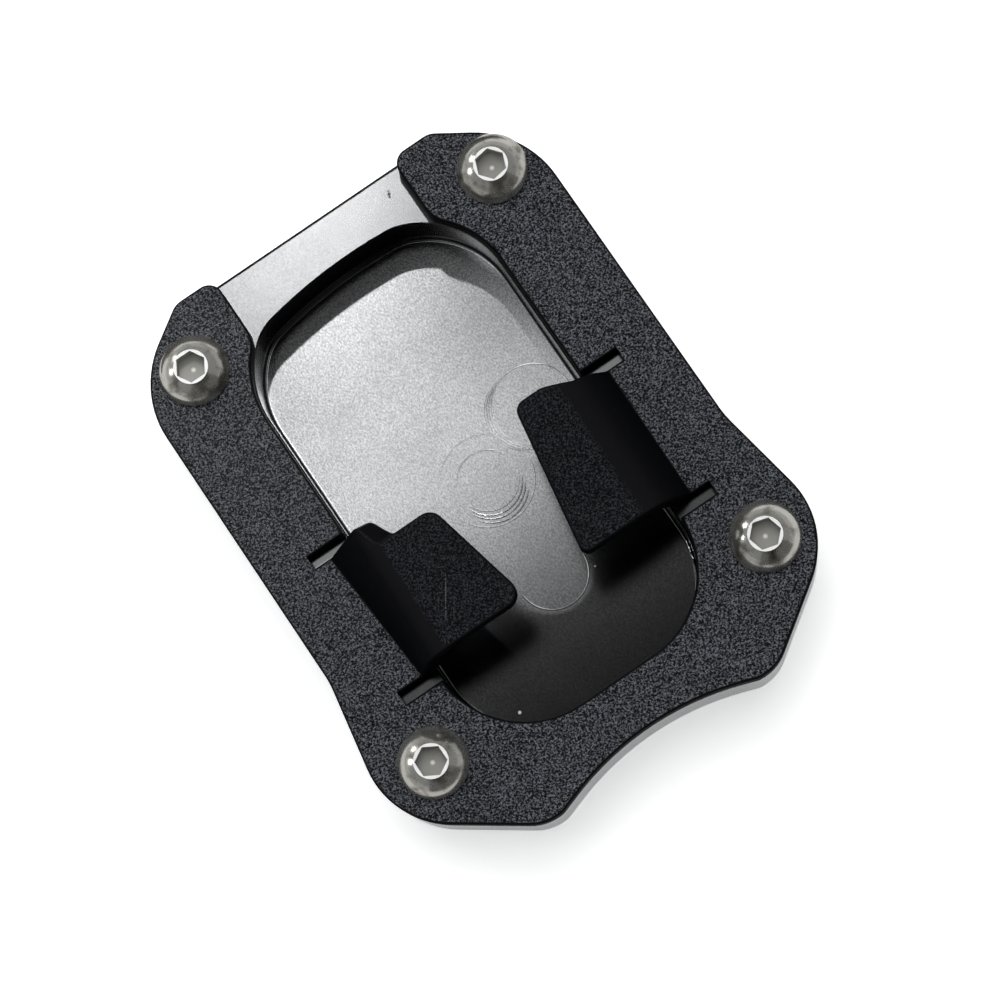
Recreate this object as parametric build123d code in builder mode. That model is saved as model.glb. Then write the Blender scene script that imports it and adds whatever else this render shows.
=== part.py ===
"""Kickstand foot enlarger: a machined aluminium foot with a bent steel plate screwed on top.

The kickstand's own foot slides into the pocket from the front, under the two hooks.
X runs across, +Y points to the open front, +Z is up. The origin is on the ground,
at the middle of the overall length and width.
"""
from math import cos, radians, sin, tan
import os

from build123d import *

# Overall outline, shared by the foot and the plate
overall_length = 93.4        # plate tips to the two tails
side_width = 68.5            # across the two parallel sides
front_flat_width = 44.8      # front edge, before the slanted corners
front_corner_drop = 7.9      # from the plate tips back to the end of a slanted corner
front_tip_radius = 3.0
front_corner_radius = 15.0
waist_rise = 34.2            # from the tails forward to where the sides flare out
waist_radius = 14.0
lobe_flare = 3.85            # each rear lobe's sharp corner lies this far outside the side
lobe_rise = 12.5             # from the tails forward to those corners
lobe_radius = 13.2
tail_outer_width = 40.2      # across the outer ends of the two tail flats
tail_flat_width = 3.1        # each tail flat
tail_outer_radius = 7.0
tail_inner_radius = 3.0
hollow_lead_in = 2.5         # from a tail flat's inner end across to the end of the rear hollow
hollow_mouth = 0.85          # from the tail flats in to the ends of the hollow
hollow_depth = 3.3           # from the tail flats in to the hollow's middle

# Foot
foot_height = 12.0
foot_front_setback = 0.45    # the foot's front edge lies this far behind the plate tips
foot_top_chamfer = 0.5
foot_bottom_chamfer = 0.8
land_width = 7.1             # solid land between the front edge and the pocket
pocket_width = 41.2
rear_land_width = 11.25      # from the tails forward to the opening
pocket_corner_radius = 14.5
pocket_bow_radius = 75.0     # the pocket's front end is slightly bowed
pocket_bow_offset = 3.0      # the bow's middle lies this far to the right
pocket_bow_cut = 0.25        # the bow cuts this much off a straight front end
pocket_bow_ease = 8.0        # rounding where the bow meets the pocket's corners
pocket_floor = 2.5
pocket_floor_fillet = 0.5
pocket_rim_chamfer = 0.2
rim_step = 0.2               # the pocket's sides and front lie this far inside the plate's opening
rear_overhang = 0.1          # the plate reaches this far over the pocket's rear end

# Plate
plate_thickness = 3.0
plate_edge_radius = 0.4
arm_gap = 31.4               # between the two front arms
arm_tip_radius = 2.3
arm_throat_radius = 5.0      # where an arm's inner edge runs into the opening

# Hooks, cut free from the plate by a slot at each end
hook_width = 21.8
hook_rear_rise = 27.3        # from the tails forward to the rear ends of the hooks
slot_width = 1.95
slot_end = 27.0              # centre line to the outer ends of the slots
hook_rise = 9.5              # plate top to hook top
left_bend_radius = 2.0       # inside radius of the left hook's upper bend
right_bend_radius = 5.0
root_bend_radius = 0.4       # inside radius of the lower bend, on the plate's top

left_root_front = 24.4       # centre line to the start of the lower bend, at the front end
left_root_rear = 22.85
left_slope_front = 60.0      # the riser's slope from the horizontal
left_slope_rear = 77.0
left_tab_front_reach = 8.1   # centre line to the tab's free edge, at its front end
left_tab_rear_reach = 4.05
left_tab_setback = 3.9       # the tab starts this far behind the front of the riser
left_tab_front_radius = 2.3
left_tab_rear_radius = 2.2
ear_reach = 18.8             # centre line to the top of the ear left in front of the tab
ear_height = 8.9             # plate top to the top of the ear
ear_climb = 1.2              # the ear's cut edge climbs this much on its way back to the tab
ear_slope = 52.0             # the ear's cut edge leans with the riser, from the horizontal
ear_radius = 1.2
ear_hollow_radius = 1.2
ear_cut_reach = 12.0         # centre line to where the ear's cut has run out into the tab's front edge

right_root_front = 24.3
right_root_rear = 24.0
right_slope_front = 66.0
right_slope_rear = 66.0
right_tab_front_reach = 9.6
right_tab_rear_reach = 5.75
right_tab_overhang = 1.55    # the tab starts this far ahead of the front of the riser
right_tab_front_radius = 1.8
right_tab_rear_radius = 1.3
right_neck_outer = 18.6      # centre line to where the front edge starts to swing forward
right_neck_inner = 14.2
right_neck_radius = 3.0

# Screws, M6 button heads
screw_diameter = 6.0
screw_length = 12.0
screw_end_chamfer = 0.6
screw_head_diameter = 10.5
screw_head_height = 3.3
screw_head_rim = 0.5         # straight rim under the dome
screw_crown_diameter = 5.1   # flat top around the socket
screw_dome_radius = 5.75
socket_across_flats = 4.1
socket_depth = 2.1
socket_drill_point = 0.4
thread_clearance = 0.1       # foot's tapped holes, over the screw
plate_hole_clearance = 0.5   # plate's plain holes, over the screw
tapped_hole_spare = 1.0      # tapped holes run on this far past the screw's end
hole_chamfer = 0.3
front_screw_spacing = 52.5
rear_screw_spacing = 57.2
front_screw_back = 10.0      # from the plate tips back to the front pair
rear_screw_rise = 16.2       # from the tails forward to the rear pair
front_row_offset = 0.8       # the front pair sits this far to the right of the middle
rear_row_offset = 0.35

front_y = overall_length / 2
rear_y = -overall_length / 2
foot_front_y = front_y - foot_front_setback
plate_top = foot_height + plate_thickness
hook_top = plate_top + hook_rise
hook_rear_y = rear_y + hook_rear_rise
hook_front_y = hook_rear_y + hook_width
pocket_front_y = foot_front_y - land_width
pocket_rear_y = rear_y + rear_land_width
pocket_length = pocket_front_y - pocket_rear_y
pocket_middle_y = (pocket_front_y + pocket_rear_y) / 2
well_front_y = pocket_front_y - rim_step
well_corner_radius = pocket_corner_radius - rim_step
well_length = well_front_y - (pocket_rear_y - rear_overhang)
hook_overlap = 1.0           # how far each hook's root reaches into the rail, to be one with it
left_tab_front_y = hook_front_y - left_tab_setback
right_tab_front_y = hook_front_y + right_tab_overhang
hole_radius = (screw_diameter + thread_clearance) / 2
plate_hole_radius = (screw_diameter + plate_hole_clearance) / 2
front_row_y = front_y - front_screw_back
rear_row_y = rear_y + rear_screw_rise

# Each screw's place, and how far a corner of its socket is turned from +X, in degrees
screw_places = {
    "screw_front_left": (front_row_offset - front_screw_spacing / 2, front_row_y, 0),
    "screw_front_right": (front_row_offset + front_screw_spacing / 2, front_row_y, 9),
    "screw_rear_left": (rear_row_offset - rear_screw_spacing / 2, rear_row_y, 30),
    "screw_rear_right": (rear_row_offset + rear_screw_spacing / 2, rear_row_y, 45),
}


def outline(front_edge_y):
    """The outline that the foot and the plate share, with its front edge at front_edge_y."""
    tail_inner_x = tail_outer_width / 2 - tail_flat_width
    corners = [
        (front_flat_width / 2, front_edge_y, front_tip_radius),
        (side_width / 2, front_y - front_corner_drop, front_corner_radius),
        (side_width / 2, rear_y + waist_rise, waist_radius),
        (side_width / 2 + lobe_flare, rear_y + lobe_rise, lobe_radius),
        (tail_outer_width / 2, rear_y, tail_outer_radius),
        (tail_inner_x, rear_y, tail_inner_radius),
    ]
    hollow_end = (tail_inner_x - hollow_lead_in, rear_y + hollow_mouth)
    points = [(0, front_edge_y)] + [(x, y) for x, y, radius in corners] + [hollow_end]
    with BuildSketch() as drawing:
        with BuildLine():
            FilletPolyline(*points, radius=[radius for x, y, radius in corners])
            mirror(about=Plane.YZ)
            ThreePointArc(hollow_end, (0, rear_y + hollow_depth), (-hollow_end[0], hollow_end[1]))
        make_face()
    return drawing.sketch


def hook_section(root, slope, bend):
    """The bent plate's section across a hook on the right side, x across and y up."""
    lean = tan(radians(slope) / 2)
    lower_corner = root - root_bend_radius * lean
    upper_corner = lower_corner - hook_rise / tan(radians(slope))
    under = plate_thickness * lean
    start = slot_end + hook_overlap
    top = [(start, plate_top), (lower_corner, plate_top), (upper_corner, hook_top), (0, hook_top)]
    underside = [
        (start, foot_height),
        (lower_corner - under, foot_height),
        (upper_corner - under, hook_top - plate_thickness),
        (0, hook_top - plate_thickness),
    ]
    with BuildSketch() as drawing:
        with BuildLine():
            FilletPolyline(*top, radius=[root_bend_radius, bend + plate_thickness])
            FilletPolyline(*underside, radius=[root_bend_radius + plate_thickness, bend])
            Line(top[0], underside[0])
            Line(top[-1], underside[-1])
        make_face()
    return drawing.sketch


def cut_edges(hook):
    """A hook's edges along its cut sides: not the corners, the lines of the bends or the end in the rail."""
    corners = hook.edges().filter_by(Axis.Z)
    bend_lines = hook.edges().filter_by(
        lambda edge: edge.length > hook_width / 2 and edge.center().X > ear_cut_reach
    )
    rail_end = hook.faces().sort_by(Axis.X)[-1].edges()
    return hook.edges() - corners - bend_lines - rail_end


# Foot: the machined block with its pocket and four tapped holes
with BuildPart() as base_plate:
    with BuildSketch():
        add(outline(foot_front_y))
    extrude(amount=foot_height)
    chamfer(base_plate.faces().sort_by(Axis.Z)[-1].edges(), foot_top_chamfer)
    chamfer(base_plate.faces().sort_by(Axis.Z)[0].edges(), foot_bottom_chamfer)
    with BuildSketch(Plane.XY.offset(pocket_floor)) as well:
        with Locations((0, well_front_y + pocket_bow_cut)):
            RectangleRounded(
                pocket_width - 2 * rim_step,
                well_length + pocket_bow_cut,
                well_corner_radius,
                align=(Align.CENTER, Align.MAX),
            )
        with Locations((pocket_bow_offset, well_front_y - pocket_bow_radius)):
            Circle(pocket_bow_radius, mode=Mode.INTERSECT)
        fillet(well.vertices().sort_by(Axis.Y)[-2:], pocket_bow_ease)
    extrude(amount=foot_height, mode=Mode.SUBTRACT)
    fillet(base_plate.faces().filter_by(Axis.Z).sort_by(Axis.Z)[1].edges(), pocket_floor_fillet)
    chamfer(base_plate.faces().sort_by(Axis.Z)[-1].inner_wires()[0].edges(), pocket_rim_chamfer)
    with Locations(*[(x, y, foot_height) for x, y, turn in screw_places.values()]):
        CounterSinkHole(
            radius=hole_radius,
            counter_sink_radius=hole_radius + hole_chamfer,
            depth=screw_length - plate_thickness + tapped_hole_spare,
            counter_sink_angle=90,
        )
base_plate.part.label = "base_plate"

# Left hook, drawn on the right side and mirrored when it joins the plate
with BuildPart() as left_hook:
    with BuildSketch(Plane.XZ.offset(-hook_front_y)):
        add(hook_section(left_root_front, left_slope_front, left_bend_radius))
    with BuildSketch(Plane.XZ.offset(-hook_rear_y)):
        add(hook_section(left_root_rear, left_slope_rear, left_bend_radius))
    loft(ruled=True)
    with BuildSketch():
        with BuildLine():
            FilletPolyline(
                (slot_end + hook_overlap, hook_rear_y),
                (left_tab_rear_reach, hook_rear_y),
                (left_tab_front_reach, left_tab_front_y),
                (ear_cut_reach, left_tab_front_y),
                radius=[left_tab_rear_radius, left_tab_front_radius],
            )
            Polyline(
                (ear_cut_reach, left_tab_front_y),
                (ear_cut_reach, hook_front_y),
                (slot_end + hook_overlap, hook_front_y),
                (slot_end + hook_overlap, hook_rear_y),
            )
        make_face()
    extrude(amount=hook_top, mode=Mode.INTERSECT)
    ear_normal = (sin(radians(ear_slope)), 0, cos(radians(ear_slope)))
    ear_origin = (ear_reach, 0, plate_top + ear_height)
    with BuildSketch(Plane(origin=ear_origin, x_dir=(0, 1, 0), z_dir=ear_normal)):
        with BuildLine():
            FilletPolyline(
                (left_tab_front_y, ear_reach),
                (left_tab_front_y, ear_climb),
                (hook_front_y, 0),
                (hook_front_y, -2 * ear_radius),
                radius=[ear_hollow_radius, ear_radius],
            )
            Polyline(
                (hook_front_y, -2 * ear_radius),
                (hook_front_y + ear_radius, -2 * ear_radius),
                (hook_front_y + ear_radius, ear_reach),
                (left_tab_front_y, ear_reach),
            )
        make_face()
    extrude(amount=ear_reach, both=True, mode=Mode.SUBTRACT)
    ear_corners = left_hook.edges().filter_by(Axis((0, 0, 0), ear_normal))
    fillet(cut_edges(left_hook) - ear_corners, plate_edge_radius)

# Right hook
with BuildPart() as right_hook:
    with BuildSketch(Plane.XZ.offset(-right_tab_front_y)):
        add(hook_section(right_root_front, right_slope_front, right_bend_radius))
    with BuildSketch(Plane.XZ.offset(-hook_rear_y)):
        add(hook_section(right_root_rear, right_slope_rear, right_bend_radius))
    loft(ruled=True)
    with BuildSketch():
        with BuildLine():
            FilletPolyline(
                (slot_end + hook_overlap, hook_rear_y),
                (right_tab_rear_reach, hook_rear_y),
                (right_tab_front_reach, right_tab_front_y),
                (right_neck_inner, right_tab_front_y),
                (right_neck_outer, hook_front_y),
                (slot_end + hook_overlap, hook_front_y),
                radius=[
                    right_tab_rear_radius,
                    right_tab_front_radius,
                    right_neck_radius,
                    right_neck_radius,
                ],
            )
            Line((slot_end + hook_overlap, hook_front_y), (slot_end + hook_overlap, hook_rear_y))
        make_face()
    extrude(amount=hook_top, mode=Mode.INTERSECT)
    fillet(cut_edges(right_hook), plate_edge_radius)

# Plate: one cut and bent sheet with its two hooks
with BuildPart() as clamp_plate:
    with BuildSketch(Plane.XY.offset(foot_height)) as blank:
        add(outline(front_y))
        with Locations((0, pocket_middle_y)):
            RectangleRounded(pocket_width, pocket_length, pocket_corner_radius, mode=Mode.SUBTRACT)
        with Locations((0, pocket_middle_y)):
            Rectangle(arm_gap, overall_length, align=(Align.CENTER, Align.MIN), mode=Mode.SUBTRACT)
        for side in (-1, 1):
            tip = blank.vertices().sort_by_distance((side * arm_gap / 2, front_y, foot_height))[0]
            fillet(tip, arm_tip_radius)
            throat = blank.vertices().sort_by_distance(
                (side * arm_gap / 2, pocket_front_y, foot_height)
            )[0]
            fillet(throat, arm_throat_radius)
        with Locations((0, hook_rear_y - slot_width)):
            Rectangle(
                2 * slot_end,
                hook_width + 2 * slot_width,
                align=(Align.CENTER, Align.MIN),
                mode=Mode.SUBTRACT,
            )
        with Locations(*[(x, y) for x, y, turn in screw_places.values()]):
            Circle(plate_hole_radius, mode=Mode.SUBTRACT)
    extrude(amount=plate_thickness)
    corners = clamp_plate.edges().filter_by(Axis.Z)
    hook_roots = clamp_plate.edges().filter_by(
        lambda edge: abs(abs(edge.center().X) - slot_end) < plate_edge_radius / 2
        and edge.length > hook_width
    )
    fillet(clamp_plate.edges() - corners - hook_roots, plate_edge_radius)
    add(mirror(left_hook.part, about=Plane.YZ, mode=Mode.PRIVATE))
    add(right_hook.part)
clamp_plate.part.label = "clamp_plate"

# Screws: button head with a hexagon socket, on a plain shank
screws = {}
for name, (x, y, turn) in screw_places.items():
    seat = (x, y, plate_top)
    with BuildPart() as screw:
        with BuildSketch(Plane(origin=seat, x_dir=(1, 0, 0), z_dir=(0, -1, 0))):
            with BuildLine():
                rim = (screw_head_diameter / 2, screw_head_rim)
                crown = (screw_crown_diameter / 2, screw_head_height)
                Polyline(
                    crown,
                    (0, screw_head_height),
                    (0, -screw_length),
                    (screw_diameter / 2, -screw_length),
                    (screw_diameter / 2, 0),
                    (screw_head_diameter / 2, 0),
                    rim,
                )
                RadiusArc(rim, crown, -screw_dome_radius)
            make_face()
        revolve(axis=Axis(seat, (0, 0, 1)))
        chamfer(screw.edges().sort_by(Axis.Z)[0], screw_end_chamfer)
        with BuildSketch(Plane.XY.offset(plate_top + screw_head_height)):
            with Locations((x, y)):
                RegularPolygon(socket_across_flats / 2, 6, major_radius=False, rotation=turn)
        extrude(amount=-socket_depth, mode=Mode.SUBTRACT)
        with Locations((x, y, plate_top + screw_head_height - socket_depth)):
            Cone(
                bottom_radius=0,
                top_radius=socket_across_flats / 2,
                height=socket_drill_point,
                align=(Align.CENTER, Align.CENTER, Align.MAX),
                mode=Mode.SUBTRACT,
            )
    screw.part.label = name
    screws[name] = screw.part

os.makedirs("parts", exist_ok=True)
export_step(base_plate.part, "parts/base_plate.step")
export_step(clamp_plate.part, "parts/clamp_plate.step")
for name, solid in screws.items():
    export_step(solid, "parts/" + name + ".step")
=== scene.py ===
# Kickstand foot enlarger: finishes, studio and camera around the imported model
import math

import bpy
from mathutils import Matrix, Vector

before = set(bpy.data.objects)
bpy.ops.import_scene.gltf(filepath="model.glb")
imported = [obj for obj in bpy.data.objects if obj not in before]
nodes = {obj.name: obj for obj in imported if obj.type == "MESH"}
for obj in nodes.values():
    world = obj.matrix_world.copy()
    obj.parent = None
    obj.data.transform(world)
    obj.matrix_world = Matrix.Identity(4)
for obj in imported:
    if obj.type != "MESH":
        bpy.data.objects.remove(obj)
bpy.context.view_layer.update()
scene = bpy.context.scene
mm = 0.001
print("Frame loaded:", ", ".join(sorted(nodes)))


# Node helpers

def newNode(tree, kind, **settings):
    node = tree.nodes.new(kind)
    for name, value in settings.items():
        setattr(node, name, value)
    return node


def feed(tree, node, **values):
    # each value is a number, a colour or another node's output
    for name, value in values.items():
        socket = node.inputs[name.replace("_", " ")]
        if isinstance(value, bpy.types.NodeSocket):
            tree.links.new(value, socket)
        else:
            socket.default_value = value
    return node


def maths(tree, operation, *values, clamp=False):
    node = newNode(tree, "ShaderNodeMath", operation=operation, use_clamp=clamp)
    for socket, value in zip(node.inputs, values):
        if isinstance(value, bpy.types.NodeSocket):
            tree.links.new(value, socket)
        else:
            socket.default_value = value
    return node.outputs[0]


def remap(tree, value, low, high, toLow=0.0, toHigh=1.0):
    node = newNode(tree, "ShaderNodeMapRange", interpolation_type="SMOOTHSTEP")
    feed(tree, node, Value=value, From_Min=low, From_Max=high, To_Min=toLow, To_Max=toHigh)
    return node.outputs[0]


def mixColours(tree, mask, first, second):
    node = newNode(tree, "ShaderNodeMix", data_type="RGBA")
    sockets = [node.inputs[0], node.inputs[6], node.inputs[7]]
    for socket, value in zip(sockets, (mask, first, second)):
        if isinstance(value, bpy.types.NodeSocket):
            tree.links.new(value, socket)
        else:
            socket.default_value = value
    return node.outputs[2]


def vary(tree, middle, noise, spread):
    # a value that follows a noise around its middle
    return maths(tree, "ADD", middle, maths(tree, "MULTIPLY", maths(tree, "SUBTRACT", noise, 0.5), spread))


def grey(value):
    return (value, value, value, 1)


def newGroup(name, inputs, outputs):
    tree = bpy.data.node_groups.new(name, "ShaderNodeTree")
    for label, kind, value in inputs:
        socket = tree.interface.new_socket(label, in_out="INPUT", socket_type=kind)
        if value is not None:
            socket.default_value = value
    for label in outputs:
        tree.interface.new_socket(label, in_out="OUTPUT", socket_type="NodeSocketFloat")
    return tree, tree.nodes.new("NodeGroupInput"), tree.nodes.new("NodeGroupOutput")


def useGroup(tree, group, **values):
    node = newNode(tree, "ShaderNodeGroup", node_tree=group)
    return feed(tree, node, **values)


def newMaterial(name):
    material = bpy.data.materials.new(name)
    material.use_nodes = True
    tree = material.node_tree
    tree.nodes.clear()
    output = tree.nodes.new("ShaderNodeOutputMaterial")
    shader = tree.nodes.new("ShaderNodeBsdfPrincipled")
    tree.links.new(shader.outputs[0], output.inputs[0])
    return material, tree, shader


# Effects that several finishes share

grainTurn = (0.5, 0.35, 0.6)  # so that the noise's cells don't line up with the part
grainRoughness = 0.55
arcFade = 6.0  # how sharply a tool mark's ends fade


def makeGrain():
    # fine grain, stretched along one axis if asked; even, around 0.5
    tree, given, out = newGroup("fineGrain", [
        ("Position", "NodeSocketVector", None),
        ("Stretch", "NodeSocketVector", (1, 1, 1)),
        ("Size", "NodeSocketFloat", 0.0003),
        ("Detail", "NodeSocketFloat", 2.0),
    ], ["Grain"])
    stretched = newNode(tree, "ShaderNodeVectorMath", operation="MULTIPLY")
    tree.links.new(given.outputs["Position"], stretched.inputs[0])
    tree.links.new(given.outputs["Stretch"], stretched.inputs[1])
    turned = newNode(tree, "ShaderNodeVectorRotate", rotation_type="EULER_XYZ")
    feed(tree, turned, Vector=stretched.outputs[0], Rotation=grainTurn)
    noise = newNode(tree, "ShaderNodeTexNoise")
    feed(tree, noise, Vector=turned.outputs[0], Detail=given.outputs["Detail"], Roughness=grainRoughness)
    tree.links.new(maths(tree, "DIVIDE", 1.0, given.outputs["Size"]), noise.inputs["Scale"])
    tree.links.new(noise.outputs[0], out.inputs["Grain"])
    return tree


def makeRing():
    # one thin circular tool mark: 1 on the line, fading to 0 at its width, and only within an arc
    tree, given, out = newGroup("toolRing", [
        ("Position", "NodeSocketVector", None),
        ("Centre", "NodeSocketVector", (0, 0, 0)),
        ("Radius", "NodeSocketFloat", 0.006),
        ("Width", "NodeSocketFloat", 0.0001),
        ("Facing", "NodeSocketVector", (0, 0, 0)),
        ("Reach", "NodeSocketFloat", -1.0),
    ], ["Ring"])
    offset = newNode(tree, "ShaderNodeVectorMath", operation="SUBTRACT")
    tree.links.new(given.outputs["Position"], offset.inputs[0])
    tree.links.new(given.outputs["Centre"], offset.inputs[1])
    level = newNode(tree, "ShaderNodeVectorMath", operation="MULTIPLY")
    tree.links.new(offset.outputs[0], level.inputs[0])
    level.inputs[1].default_value = (1, 1, 0)
    length = newNode(tree, "ShaderNodeVectorMath", operation="LENGTH")
    tree.links.new(level.outputs[0], length.inputs[0])
    beyond = maths(tree, "SUBTRACT", length.outputs["Value"], given.outputs["Radius"])
    away = maths(tree, "ABSOLUTE", beyond)
    line = maths(tree, "SUBTRACT", 1.0, maths(tree, "DIVIDE", away, given.outputs["Width"]), clamp=True)
    heading = newNode(tree, "ShaderNodeVectorMath", operation="NORMALIZE")
    tree.links.new(level.outputs[0], heading.inputs[0])
    along = newNode(tree, "ShaderNodeVectorMath", operation="DOT_PRODUCT")
    tree.links.new(heading.outputs[0], along.inputs[0])
    tree.links.new(given.outputs["Facing"], along.inputs[1])
    past = maths(tree, "SUBTRACT", along.outputs["Value"], given.outputs["Reach"])
    inside = maths(tree, "MULTIPLY", past, arcFade, clamp=True)
    tree.links.new(maths(tree, "MULTIPLY", line, inside), out.inputs["Ring"])
    return tree


def makeScratch():
    # a straight scratch between two points
    tree, given, out = newGroup("scratch", [
        ("Position", "NodeSocketVector", None),
        ("From", "NodeSocketVector", (0, 0, 0)),
        ("To", "NodeSocketVector", (0, 0, 0)),
        ("Width", "NodeSocketFloat", 0.0001),
    ], ["Scratch"])

    def combine(operation, first, second):
        node = newNode(tree, "ShaderNodeVectorMath", operation=operation)
        tree.links.new(first, node.inputs[0])
        tree.links.new(second, node.inputs[1])
        return node

    run = combine("SUBTRACT", given.outputs["To"], given.outputs["From"]).outputs[0]
    offset = combine("SUBTRACT", given.outputs["Position"], given.outputs["From"]).outputs[0]
    along = combine("DOT_PRODUCT", offset, run).outputs["Value"]
    whole = combine("DOT_PRODUCT", run, run).outputs["Value"]
    share = maths(tree, "DIVIDE", along, whole, clamp=True)
    nearest = newNode(tree, "ShaderNodeVectorMath", operation="SCALE")
    tree.links.new(run, nearest.inputs[0])
    tree.links.new(share, nearest.inputs["Scale"])
    away = combine("DISTANCE", offset, nearest.outputs[0]).outputs["Value"]
    line = maths(tree, "SUBTRACT", 1.0, maths(tree, "DIVIDE", away, given.outputs["Width"]), clamp=True)
    tree.links.new(line, out.inputs["Scratch"])
    return tree


fineGrain = makeGrain()
toolRing = makeRing()
scratch = makeScratch()
print("Shared effects ready")

# Clamp plate: fine-textured black powder coat, with painted shade that makes it darker on the hooks and
# darkest on their slopes

coat = {
    # dark and light end of the grain, on the rails and on the hooks' tabs; the tabs' pair is painted
    # shade, a darker copy of the same coat
    "railColours": ((0.0046, 0.0052, 0.0064, 1), (0.178, 0.188, 0.208, 1)),
    "tabPaintedShadeColours": ((0.0034, 0.0037, 0.0044, 1), (0.039, 0.041, 0.049, 1)),
    # painted shade on bends, rounded edges and steep risers, darker the more they face sideways
    "bendPaintedShade": (0.0082, 0.0083, 0.0092, 1),
    "riserPaintedShade": (0.0026, 0.0028, 0.0034, 1),
    "roughness": 0.62,
    "roughnessSpread": 0.14,
    "specular": 0.02,
    "grainSize": 0.30 * mm,
    "grainRange": (0.36, 0.66),
    "fineSize": 0.19 * mm,
    "fineStretch": (0.83, 1.21, 1.0),
    "fineRange": (0.30, 0.64),
    "grainHeight": 0.05 * mm,
    "bendGrain": 0.15,
    "mottleSize": 5 * mm,
    # how level a face has to be to take the grain, and how level a bend is where its painted shade is
    # lightest
    "flatRange": (0.955, 0.998),
    "bendRange": (0.60, 0.97),
    "tabLevel": (17.5 * mm, 20 * mm),
    "scratchFrom": (-15.2 * mm, -15.9 * mm, 24.5 * mm),
    "scratchTo": (-11.7 * mm, -10.6 * mm, 24.5 * mm),
    "scratchWidth": 0.10 * mm,
    "scratchGaps": (0.3, 0.6),
    "scratchColour": (0.11, 0.11, 0.11, 1),
}


def makeCoat():
    material, tree, shader = newMaterial("blackCoat")
    position = newNode(tree, "ShaderNodeTexCoord").outputs["Object"]
    place = newNode(tree, "ShaderNodeSeparateXYZ")
    tree.links.new(position, place.inputs[0])
    normal = newNode(tree, "ShaderNodeSeparateXYZ")
    tree.links.new(newNode(tree, "ShaderNodeNewGeometry").outputs["Normal"], normal.inputs[0])
    upright = maths(tree, "ABSOLUTE", normal.outputs["Z"])
    flat = remap(tree, upright, *coat["flatRange"])
    gentle = remap(tree, upright, *coat["bendRange"])
    grain = useGroup(tree, fineGrain, Position=position, Size=coat["grainSize"], Detail=1.0)
    mottle = useGroup(tree, fineGrain, Position=position, Size=coat["mottleSize"], Detail=3.0)
    fine = useGroup(tree, fineGrain, Position=position, Stretch=coat["fineStretch"],
                    Size=coat["fineSize"], Detail=1.0)
    light = maths(tree, "MULTIPLY", remap(tree, grain.outputs[0], *coat["grainRange"]),
                  remap(tree, fine.outputs[0], *coat["fineRange"]))
    # painted shade: above the tab level the coat takes its darker copy
    onTab = remap(tree, place.outputs["Z"], *coat["tabLevel"])
    railTone = mixColours(tree, light, *coat["railColours"])
    tabPaintedShadeTone = mixColours(tree, light, *coat["tabPaintedShadeColours"])
    flatTone = mixColours(tree, onTab, railTone, tabPaintedShadeTone)
    # painted shade: faces that tilt away from level take these darker flat colours
    paintedShadeBendTone = mixColours(tree, gentle, coat["riserPaintedShade"], coat["bendPaintedShade"])
    tone = mixColours(tree, flat, paintedShadeBendTone, flatTone)
    line = useGroup(tree, scratch, Position=position, From=coat["scratchFrom"], To=coat["scratchTo"],
                    Width=coat["scratchWidth"])
    worn = maths(tree, "MULTIPLY", line.outputs[0], remap(tree, grain.outputs[0], *coat["scratchGaps"]),
                 clamp=True)
    tone = mixColours(tree, worn, tone, coat["scratchColour"])
    roughness = vary(tree, coat["roughness"], mottle.outputs[0], coat["roughnessSpread"])
    height = maths(tree, "MULTIPLY", grain.outputs[0], remap(tree, flat, 0, 1, coat["bendGrain"], 1.0))
    bump = feed(tree, newNode(tree, "ShaderNodeBump"), Height=height, Strength=1.0,
                Distance=coat["grainHeight"])
    feed(tree, shader, Base_Color=tone, Roughness=roughness, Normal=bump.outputs[0])
    shader.inputs["Specular IOR Level"].default_value = coat["specular"]
    return material


# Base plate: bare milled aluminium

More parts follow.
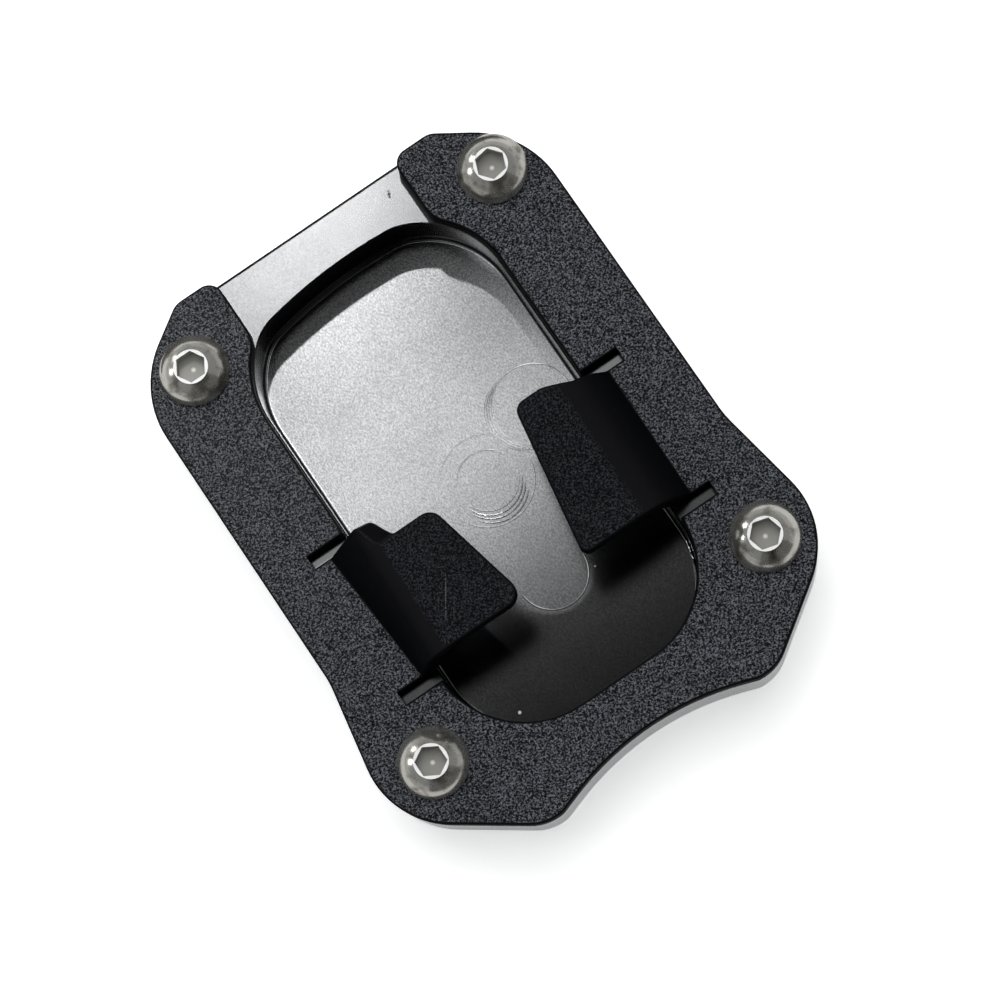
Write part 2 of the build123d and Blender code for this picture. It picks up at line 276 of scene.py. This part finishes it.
alloy = {
    "colour": (0.605, 0.615, 0.625),
    "lightest": (0.97, 0.97, 0.97),
    "roughness": 0.155,
    "roughnessSpread": 0.02,
    # the flat land in front of the pocket is painted darker, as painted shade, and has less grain
    "landLevel": (11.5 * mm, 11.9 * mm),
    "landRoughness": 0.17,
    "landPaintedShade": 0.54,
    "landSpeckle": 0.35,
    "landStreaks": 0.05,
    # the pocket's reach round its middle, and painted shade on the milled side walls, much darker in the
    # pocket than outside
    "pocketReach": (20.7 * mm, 37.6 * mm),
    "pocketMiddle": 1.7 * mm,
    "pocketWallPaintedShade": 0.10,
    "outerWallPaintedShade": 0.85,
    "wallRange": (0.985, 0.75),
    # heights between which the pocket's floor lies
    "floorLevel": (1 * mm, 2.55 * mm),
    # the milling passes end at an arc, and the floor behind the arc is painted darker, as painted shade
    "arcCentre": (1.2 * mm, -15.7 * mm, 0),
    "arcRadius": 5.4 * mm,
    "arcBlur": 1.2 * mm,
    "behindRange": (1 * mm, -6 * mm),
    "behindPaintedShade": 0.38,
    "streakSize": 0.16 * mm,
    "streakStretch": (1, 0.35, 0.2),
    "streakHeight": 0.0018 * mm,
    "speckleSize": 0.20 * mm,
    "speckleStretch": (1, 0.6, 0.3),
    "speckleRange": (0.25, 0.75),
    "speckleTone": (-0.30, 0.30),
    "cloudSize": 9 * mm,
    "cloudRange": (0.3, 0.7),
    "cloudTone": (0.95, 1.04),
    # centre x, centre y, radius, facing x, facing y, reach, strength
    "rings": [
        (13.0, 6.75, 6.2, 0.0, 1.0, -1.0, 0.7),
        (12.6, 6.75, 6.2, -1.0, 0.0, 0.2, 0.8),
        (12.2, 6.75, 6.2, -1.0, 0.0, 0.3, 0.8),
        (11.8, 6.75, 6.2, -1.0, 0.0, 0.4, 0.6),
        (1.1, 1.15, 4.6, 0.0, 0.0, -1.0, 0.5),
        (1.1, 0.75, 4.9, 0.0, -1.0, 0.3, 0.9),
        (1.1, 0.35, 5.1, 0.0, -1.0, 0.4, 0.9),
        (1.1, -0.1, 5.3, 0.0, -1.0, 0.5, 0.8),
        (1.1, 1.15, 7.0, 0.0, 0.0, -1.0, 0.35),
        (1.2, -15.7, 5.4, 0.0, -1.0, 0.0, 1.0),
    ],
    "ringWidth": 0.13 * mm,
    "markShade": 1.4,
    "markHeight": 6.5,
    # small dents and bright flecks: x, y, size, brightness
    "flecks": [(12.5, 42.75, 0.22, 0.15), (12.7, 43.15, 0.30, 0.12), (12.85, 43.6, 0.20, 0.25),
               (-14.2, -30.0, 0.30, 6.0), (7.0, -18.4, 0.14, 3.0)],
    "fleckEdge": 3.0,
    "fleckDullness": 0.8,
}


def makeAlloy():
    material, tree, shader = newMaterial("milledAluminium")
    position = newNode(tree, "ShaderNodeTexCoord").outputs["Object"]
    place = newNode(tree, "ShaderNodeSeparateXYZ")
    tree.links.new(position, place.inputs[0])
    normal = newNode(tree, "ShaderNodeSeparateXYZ")
    tree.links.new(newNode(tree, "ShaderNodeNewGeometry").outputs["Normal"], normal.inputs[0])
    reachAcross, reachAlong = alloy["pocketReach"]
    across = maths(tree, "LESS_THAN", maths(tree, "ABSOLUTE", place.outputs["X"]), reachAcross)
    along = maths(tree, "ABSOLUTE", maths(tree, "SUBTRACT", place.outputs["Y"], alloy["pocketMiddle"]))
    inPocket = maths(tree, "MULTIPLY", across, maths(tree, "LESS_THAN", along, reachAlong))
    floorLow, floorHigh = alloy["floorLevel"]
    below = maths(tree, "LESS_THAN", place.outputs["Z"], floorHigh)
    above = maths(tree, "GREATER_THAN", place.outputs["Z"], floorLow)
    onFloor = maths(tree, "MULTIPLY", maths(tree, "MULTIPLY", below, above), inPocket)
    level = newNode(tree, "ShaderNodeVectorMath", operation="MULTIPLY")
    tree.links.new(position, level.inputs[0])
    level.inputs[1].default_value = (1, 1, 0)
    marks = None
    for x, y, radius, facingX, facingY, reach, strength in alloy["rings"]:
        ring = useGroup(tree, toolRing, Position=position, Centre=(x * mm, y * mm, 0),
                        Radius=radius * mm, Width=alloy["ringWidth"], Facing=(facingX, facingY, 0),
                        Reach=reach)
        mark = maths(tree, "MULTIPLY", ring.outputs[0], strength)
        marks = mark if marks is None else maths(tree, "MAXIMUM", marks, mark)
    marks = maths(tree, "MULTIPLY", marks, onFloor)
    streaks = useGroup(tree, fineGrain, Position=position, Stretch=alloy["streakStretch"],
                       Size=alloy["streakSize"], Detail=2.0)
    speckle = useGroup(tree, fineGrain, Position=position, Stretch=alloy["speckleStretch"],
                       Size=alloy["speckleSize"], Detail=3.0)
    cloud = useGroup(tree, fineGrain, Position=position, Size=alloy["cloudSize"], Detail=2.0)
    onLand = remap(tree, place.outputs["Z"], *alloy["landLevel"])
    spread = remap(tree, onLand, 0, 1, 1.0, alloy["landSpeckle"])
    spots = remap(tree, speckle.outputs[0], *alloy["speckleRange"], *alloy["speckleTone"])
    spots = maths(tree, "MULTIPLY", spots, spread)
    clouds = remap(tree, cloud.outputs[0], *alloy["cloudRange"], *alloy["cloudTone"])
    tone = maths(tree, "MULTIPLY", maths(tree, "ADD", spots, 1.0), clouds)
    fromArc = newNode(tree, "ShaderNodeVectorMath", operation="DISTANCE")
    tree.links.new(level.outputs[0], fromArc.inputs[0])
    fromArc.inputs[1].default_value = alloy["arcCentre"]
    arcRadius = alloy["arcRadius"]
    outside = remap(tree, fromArc.outputs["Value"], arcRadius, arcRadius + alloy["arcBlur"])
    arcY = alloy["arcCentre"][1]
    behindFrom, behindTo = alloy["behindRange"]
    rearward = remap(tree, place.outputs["Y"], arcY + behindFrom, arcY + behindTo)
    behind = maths(tree, "MULTIPLY", maths(tree, "MULTIPLY", outside, rearward), onFloor)
    # painted shade on the floor behind the arc
    tone = maths(tree, "MULTIPLY", tone, remap(tree, behind, 0, 1, 1.0, alloy["behindPaintedShade"]))
    tone = maths(tree, "MULTIPLY", tone, remap(tree, marks, 0, 1, 1.0, alloy["markShade"]))
    # painted shade: side walls and fillets are darkened, the pocket's walls much more than the outer ones
    wall = remap(tree, maths(tree, "ABSOLUTE", normal.outputs["Z"]), *alloy["wallRange"])
    paintedWallShade = remap(tree, inPocket, 0, 1, alloy["outerWallPaintedShade"], alloy["pocketWallPaintedShade"])
    paintedWallDarkening = maths(tree, "MULTIPLY", wall, maths(tree, "SUBTRACT", 1.0, paintedWallShade))
    tone = maths(tree, "MULTIPLY", tone, maths(tree, "SUBTRACT", 1.0, paintedWallDarkening))
    # painted shade: the land's colour is darkened
    tone = maths(tree, "MULTIPLY", tone, remap(tree, onLand, 0, 1, 1.0, alloy["landPaintedShade"]))
    metallic = 1.0
    for x, y, size, lightness in alloy["flecks"]:
        spot = useGroup(tree, toolRing, Position=position, Centre=(x * mm, y * mm, 0), Radius=0.0,
                        Width=size * mm)
        spot = maths(tree, "MULTIPLY", spot.outputs[0], alloy["fleckEdge"], clamp=True)
        shade = remap(tree, spot, 0, 1, 1.0, lightness)
        if lightness > 1:
            dull = maths(tree, "MULTIPLY", spot, alloy["fleckDullness"])
            metallic = maths(tree, "SUBTRACT", metallic, dull, clamp=True)
        tone = maths(tree, "MULTIPLY", tone, shade)
    colour = newNode(tree, "ShaderNodeVectorMath", operation="SCALE")
    colour.inputs[0].default_value = alloy["colour"]
    tree.links.new(tone, colour.inputs["Scale"])
    clipped = newNode(tree, "ShaderNodeVectorMath", operation="MINIMUM")
    tree.links.new(colour.outputs[0], clipped.inputs[0])
    clipped.inputs[1].default_value = alloy["lightest"]
    roughness = remap(tree, onLand, 0, 1, alloy["roughness"], alloy["landRoughness"])
    roughness = vary(tree, roughness, speckle.outputs[0], alloy["roughnessSpread"])
    streaky = remap(tree, onLand, 0, 1, 1.0, alloy["landStreaks"])
    height = maths(tree, "ADD", maths(tree, "MULTIPLY", streaks.outputs[0], streaky),
                   maths(tree, "MULTIPLY", marks, alloy["markHeight"]))
    bump = feed(tree, newNode(tree, "ShaderNodeBump"), Height=height, Strength=1.0,
                Distance=alloy["streakHeight"])
    feed(tree, shader, Base_Color=clipped.outputs[0], Metallic=metallic, Roughness=roughness,
         Normal=bump.outputs[0])
    return material


# Screws: stainless steel, a little stained, with a painted highlight on the crown round the socket and
# painted shade inside the socket

steel = {
    "colour": (0.50, 0.49, 0.45, 1),
    "stain": (0.17, 0.16, 0.135, 1),
    # painted highlight: the flat crown round the socket is painted near white
    "crownPaintedHighlight": (0.95, 0.95, 0.94, 1),
    # painted shade: the socket's inside is a flat rough grey in place of bare steel, with a painted
    # highlight at its point
    "socketPaintedShade": (0.34, 0.335, 0.31, 1),
    "pointPaintedHighlight": (0.85, 0.85, 0.83, 1),
    "roughness": 0.19,
    "roughnessSpread": 0.35,
    "domeMetal": 0.87,
    "socketMetalLoss": 0.85,
    "socketRoughness": 0.90,
    "crownFacing": 0.97,
    "crownLevel": 18.25 * mm,
    "socketLevel": 15.5 * mm,
    "socketRadius": 2.42 * mm,
    "pointReach": (0.5 * mm, 0.1 * mm),
    "stainSize": 2.2 * mm,
    "stainRange": (0.45, 0.72),
    "grainSize": 0.18 * mm,
    "grainHeight": 0.0015 * mm,
}

# screw centres in mm, across and along
screwCentres = [(-25.45, 36.7), (27.05, 36.7), (-28.25, -30.5), (28.95, -30.5)]


def makeSteel():
    material, tree, shader = newMaterial("stainlessSteel")
    position = newNode(tree, "ShaderNodeTexCoord").outputs["Object"]
    place = newNode(tree, "ShaderNodeSeparateXYZ")
    tree.links.new(position, place.inputs[0])
    normal = newNode(tree, "ShaderNodeSeparateXYZ")
    tree.links.new(newNode(tree, "ShaderNodeNewGeometry").outputs["Normal"], normal.inputs[0])
    level = newNode(tree, "ShaderNodeVectorMath", operation="MULTIPLY")
    tree.links.new(position, level.inputs[0])
    level.inputs[1].default_value = (1, 1, 0)
    upward = maths(tree, "GREATER_THAN", normal.outputs["Z"], steel["crownFacing"])
    onTop = maths(tree, "GREATER_THAN", place.outputs["Z"], steel["crownLevel"])
    crown = maths(tree, "MULTIPLY", upward, onTop)
    nearest = None
    for x, y in screwCentres:
        away = newNode(tree, "ShaderNodeVectorMath", operation="DISTANCE")
        tree.links.new(level.outputs[0], away.inputs[0])
        away.inputs[1].default_value = (x * mm, y * mm, 0)
        away = away.outputs["Value"]
        nearest = away if nearest is None else maths(tree, "MINIMUM", nearest, away)
    within = maths(tree, "LESS_THAN", nearest, steel["socketRadius"])
    inHead = maths(tree, "GREATER_THAN", place.outputs["Z"], steel["socketLevel"])
    within = maths(tree, "MULTIPLY", within, inHead)
    socket = maths(tree, "MULTIPLY", within, maths(tree, "SUBTRACT", 1.0, crown))
    stain = useGroup(tree, fineGrain, Position=position, Size=steel["stainSize"], Detail=4.0)
    grain = useGroup(tree, fineGrain, Position=position, Size=steel["grainSize"], Detail=2.0)
    stained = remap(tree, stain.outputs[0], *steel["stainRange"])
    colour = mixColours(tree, stained, steel["colour"], steel["stain"])
    # painted highlight at the socket's point, over the socket's painted shade
    paintedGlint = maths(tree, "MULTIPLY", socket, remap(tree, nearest, *steel["pointReach"]))
    paintedSocketTone = mixColours(tree, paintedGlint, steel["socketPaintedShade"], steel["pointPaintedHighlight"])
    colour = mixColours(tree, socket, colour, paintedSocketTone)
    # painted highlight on the crown
    colour = mixColours(tree, crown, colour, steel["crownPaintedHighlight"])
    roughness = vary(tree, steel["roughness"], stain.outputs[0], steel["roughnessSpread"])
    inner = maths(tree, "MAXIMUM", socket, crown)
    rougher = maths(tree, "MULTIPLY", inner, steel["socketRoughness"] - steel["roughness"])
    roughness = maths(tree, "ADD", roughness, rougher)
    metalLoss = maths(tree, "MULTIPLY", inner, steel["socketMetalLoss"])
    metallic = maths(tree, "SUBTRACT", steel["domeMetal"], metalLoss, clamp=True)
    bump = feed(tree, newNode(tree, "ShaderNodeBump"), Height=grain.outputs[0], Strength=1.0,
                Distance=steel["grainHeight"])
    feed(tree, shader, Base_Color=colour, Metallic=metallic, Roughness=roughness,
         Normal=bump.outputs[0])
    return material


def dress(name, material):
    for slot in nodes[name].material_slots:
        slot.material = material


blackCoat = makeCoat()
milledAluminium = makeAlloy()
stainlessSteel = makeSteel()
dress("clamp_plate", blackCoat)
dress("base_plate", milledAluminium)
for screwName in ("screw_front_left", "screw_front_right", "screw_rear_left", "screw_rear_right"):
    dress(screwName, stainlessSteel)
print("Finishes made")

# Studio: white paper, soft light, and a sheet, a beam and cards that only reflections see

studio = {
    "paperSize": 6.0,
    "wallDistance": 2.6,
    "wallHeight": 0.7,
    "wallSides": 48,
    "paperColour": 0.86,
    "paperLift": 0.50,
    "mirroredLift": 0.18,
    "worldColour": (0.30, 0.305, 0.31, 1),
    "lampAim": (0, 0, 0.01),
    "keyPlace": (0.17, 0.42, 0.92),
    "keySpan": (0.15, 0.15),
    "keyLevel": 5.0,
    "fillPlace": (0.2, 0.5, 1.4),
    "fillSpan": (1.2, 1.2),
    "fillPower": 13.0,
    # two small windows, which give the screw heads their highlights
    "leftWindowPlace": (-0.90, 0.63, 0.44),
    "frontWindowPlace": (-0.42, 0.97, 0.41),
    "windowSpan": (0.2, 0.2),
    "windowLevel": 11.0,
    # graded sheet overhead, mirrored by the bare metal; its reach is to the rear and to the front
    "sheetHeight": 0.50,
    "sheetHalfWidth": 0.30,
    "sheetReach": (-0.60, 0.205),
    # distance towards the front, level of light
    "sheetLevels": [(0.000, 0.0), (0.026, 0.03), (0.044, 0.07), (0.058, 0.16), (0.072, 0.40),
                    (0.088, 0.72), (0.104, 0.98), (0.117, 0.70), (0.130, 0.24), (0.142, 0.03),
                    (0.154, 0.0)],
    # narrow beam on the front of the pocket, which only reflections see
    "beamPlace": (0.20, 0.445, 0.92),
    "beamAim": (-0.033, 0.038, 0.002),
    "beamAngle": 6.0,
    "beamBlend": 0.9,
    "beamRadius": 0.018,
    "beamPower": 141.0,
    # dark cards, which only reflections see: spans in x, y and z, and levels of light
    "roomSpan": ((-0.9, 0.9), (-0.9, -0.9), (0, 1.3)),
    "roomLevel": 0.12,
    "photographerSpan": ((-0.30, 0.02), (-0.8, -0.8), (0.25, 1.2)),
    "frontStripSpan": ((-0.06, 0.06), (0.060, 0.16), (0.001, 0.001)),
    "cardLevel": 0.005,
}


def makePaper():
    material = bpy.data.materials.new("whitePaper")
    material.use_nodes = True
    tree = material.node_tree
    tree.nodes.clear()
    output = tree.nodes.new("ShaderNodeOutputMaterial")
    paper = feed(tree, newNode(tree, "ShaderNodeBsdfDiffuse"), Color=grey(studio["paperColour"]))
    rays = newNode(tree, "ShaderNodeLightPath")
    direct = maths(tree, "MULTIPLY", rays.outputs["Is Camera Ray"], studio["paperLift"])
    mirrored = maths(tree, "MULTIPLY", rays.outputs["Is Glossy Ray"], studio["mirroredLift"])
    lift = newNode(tree, "ShaderNodeEmission")
    tree.links.new(maths(tree, "ADD", direct, mirrored), lift.inputs["Strength"])
    both = newNode(tree, "ShaderNodeAddShader")
    tree.links.new(paper.outputs[0], both.inputs[0])
    tree.links.new(lift.outputs[0], both.inputs[1])
    tree.links.new(both.outputs[0], output.inputs[0])
    return material


def makeBackdrop():
    # flat paper with a low round wall far off
    half = studio["paperSize"] / 2
    points = [(-half, -half, 0), (half, -half, 0), (half, half, 0), (-half, half, 0)]
    faces = [(0, 1, 2, 3)]
    first = len(points)
    count = studio["wallSides"]
    distance = studio["wallDistance"]
    for level in (0.0, studio["wallHeight"]):
        for i in range(count):
            turn = 2 * math.pi * i / count
            points.append((distance * math.cos(turn), distance * math.sin(turn), level))
    for i in range(count):
        j = (i + 1) % count
        faces.append((first + i, first + j, first + count + j, first + count + i))
    mesh = bpy.data.meshes.new("paperRoll")
    mesh.from_pydata(points, [], faces)
    mesh.materials.append(makePaper())
    backdrop = bpy.data.objects.new("paperRoll", mesh)
    scene.collection.objects.link(backdrop)


def addPanel(name, place, span, level=None, power=None, glossy=True):
    # a flat lamp, given either the level of light on its face or its whole power
    lamp = bpy.data.lights.new(name, "AREA")
    lamp.shape = "RECTANGLE"
    lamp.size, lamp.size_y = span
    lamp.energy = power if power is not None else level * math.pi * span[0] * span[1]
    panel = bpy.data.objects.new(name, lamp)
    panel.location = place
    turn = Vector(place) - Vector(studio["lampAim"])
    panel.rotation_euler = turn.to_track_quat("Z", "Y").to_euler()
    panel.visible_glossy = glossy
    scene.collection.objects.link(panel)


def addBeam(name):
    lamp = bpy.data.lights.new(name, "SPOT")
    lamp.energy = studio["beamPower"]
    lamp.spot_size = math.radians(studio["beamAngle"])
    lamp.spot_blend = studio["beamBlend"]
    lamp.shadow_soft_size = studio["beamRadius"]
    beam = bpy.data.objects.new(name, lamp)
    beam.location = studio["beamPlace"]
    turn = Vector(studio["beamPlace"]) - Vector(studio["beamAim"])
    beam.rotation_euler = turn.to_track_quat("Z", "Y").to_euler()
    beam.visible_diffuse = False
    scene.collection.objects.link(beam)


def stageCard(name, mesh):
    # a card that only reflections see
    card = bpy.data.objects.new(name, mesh)
    card.visible_camera = False
    card.visible_shadow = False
    card.visible_diffuse = False
    scene.collection.objects.link(card)


def addSheet(name):
    # a sheet whose light changes along its length
    reach = studio["sheetReach"]
    half = studio["sheetHalfWidth"]
    height = studio["sheetHeight"]
    mesh = bpy.data.meshes.new(name)
    mesh.from_pydata([(-half, reach[0], height), (half, reach[0], height), (half, reach[1], height),
                      (-half, reach[1], height)], [], [(0, 1, 2, 3)])
    material = bpy.data.materials.new(name)
    material.use_nodes = True
    tree = material.node_tree
    tree.nodes.clear()
    place = newNode(tree, "ShaderNodeSeparateXYZ")
    tree.links.new(newNode(tree, "ShaderNodeTexCoord").outputs["Object"], place.inputs[0])
    low, high = reach
    share = maths(tree, "DIVIDE", maths(tree, "SUBTRACT", place.outputs["Y"], low), high - low)
    ramp = newNode(tree, "ShaderNodeValToRGB")
    tree.links.new(share, ramp.inputs[0])
    stops = ramp.color_ramp.elements
    top = max(level for distance, level in studio["sheetLevels"])
    for i, (distance, level) in enumerate(studio["sheetLevels"]):
        stop = stops[i] if i < 2 else stops.new(1.0)
        stop.position = (distance - low) / (high - low)
        stop.color = grey(level / top)
    glow = newNode(tree, "ShaderNodeEmission")
    tree.links.new(ramp.outputs[0], glow.inputs["Color"])
    glow.inputs["Strength"].default_value = top
    output = tree.nodes.new("ShaderNodeOutputMaterial")
    tree.links.new(glow.outputs[0], output.inputs[0])
    mesh.materials.append(material)
    stageCard(name, mesh)


def addCard(name, span, level):
    # an evenly lit card, upright or lying
    (left, right), (rear, front), (low, high) = span
    corners = [(left, rear, low), (right, rear, low), (right, front, high), (left, front, high)]
    mesh = bpy.data.meshes.new(name)
    mesh.from_pydata(corners, [], [(0, 1, 2, 3)])
    material = bpy.data.materials.new(name)
    material.use_nodes = True
    tree = material.node_tree
    tree.nodes.clear()
    glow = newNode(tree, "ShaderNodeEmission")
    glow.inputs["Strength"].default_value = level
    output = tree.nodes.new("ShaderNodeOutputMaterial")
    tree.links.new(glow.outputs[0], output.inputs[0])
    mesh.materials.append(material)
    stageCard(name, mesh)


world = bpy.data.worlds.new("studioWorld")
world.use_nodes = True
world.node_tree.nodes["Background"].inputs[0].default_value = studio["worldColour"]
scene.world = world
makeBackdrop()
addSheet("gradedSheet")
addCard("darkRoom", studio["roomSpan"], studio["roomLevel"])
addCard("photographer", studio["photographerSpan"], studio["cardLevel"])
addCard("frontStrip", studio["frontStripSpan"], studio["cardLevel"])
addPanel("keyLight", studio["keyPlace"], studio["keySpan"], level=studio["keyLevel"], glossy=False)
addBeam("pocketBeam")
addPanel("overheadFill", studio["fillPlace"], studio["fillSpan"], power=studio["fillPower"], glossy=False)
addPanel("leftWindow", studio["leftWindowPlace"], studio["windowSpan"], level=studio["windowLevel"])
addPanel("frontWindow", studio["frontWindowPlace"], studio["windowSpan"], level=studio["windowLevel"])
print("Studio set")

# Camera: above the part, a little to the rear, turned as in the photo

view = {
    "aim": (0.70 * mm, -4.5 * mm, 15 * mm),
    "distance": 480 * mm,
    "rearTilt": 10.0,
    "sideTilt": -1.1,
    "roll": 34.37,
    "lens": 120.2,
    "sensor": 36,
    "clipStart": 10 * mm,
}


def makeCamera():
    side = math.radians(view["sideTilt"])
    rear = math.radians(view["rearTilt"])
    back = Vector((math.sin(side) * math.cos(rear), -math.sin(rear), math.cos(side) * math.cos(rear)))
    levelRight = Vector((0, 1, 0)).cross(back).normalized()
    levelUp = back.cross(levelRight)
    roll = math.radians(view["roll"])
    right = levelRight * math.cos(roll) - levelUp * math.sin(roll)
    up = levelRight * math.sin(roll) + levelUp * math.cos(roll)
    data = bpy.data.cameras.new("photoCamera")
    data.lens = view["lens"]
    data.sensor_width = view["sensor"]
    data.clip_start = view["clipStart"]
    camera = bpy.data.objects.new("photoCamera", data)
    turn = Matrix((right, up, back)).transposed().to_4x4()
    camera.matrix_world = Matrix.Translation(Vector(view["aim"]) + back * view["distance"]) @ turn
    scene.collection.objects.link(camera)
    scene.camera = camera


makeCamera()
scene.view_settings.view_transform = "Standard"
print("Camera placed")
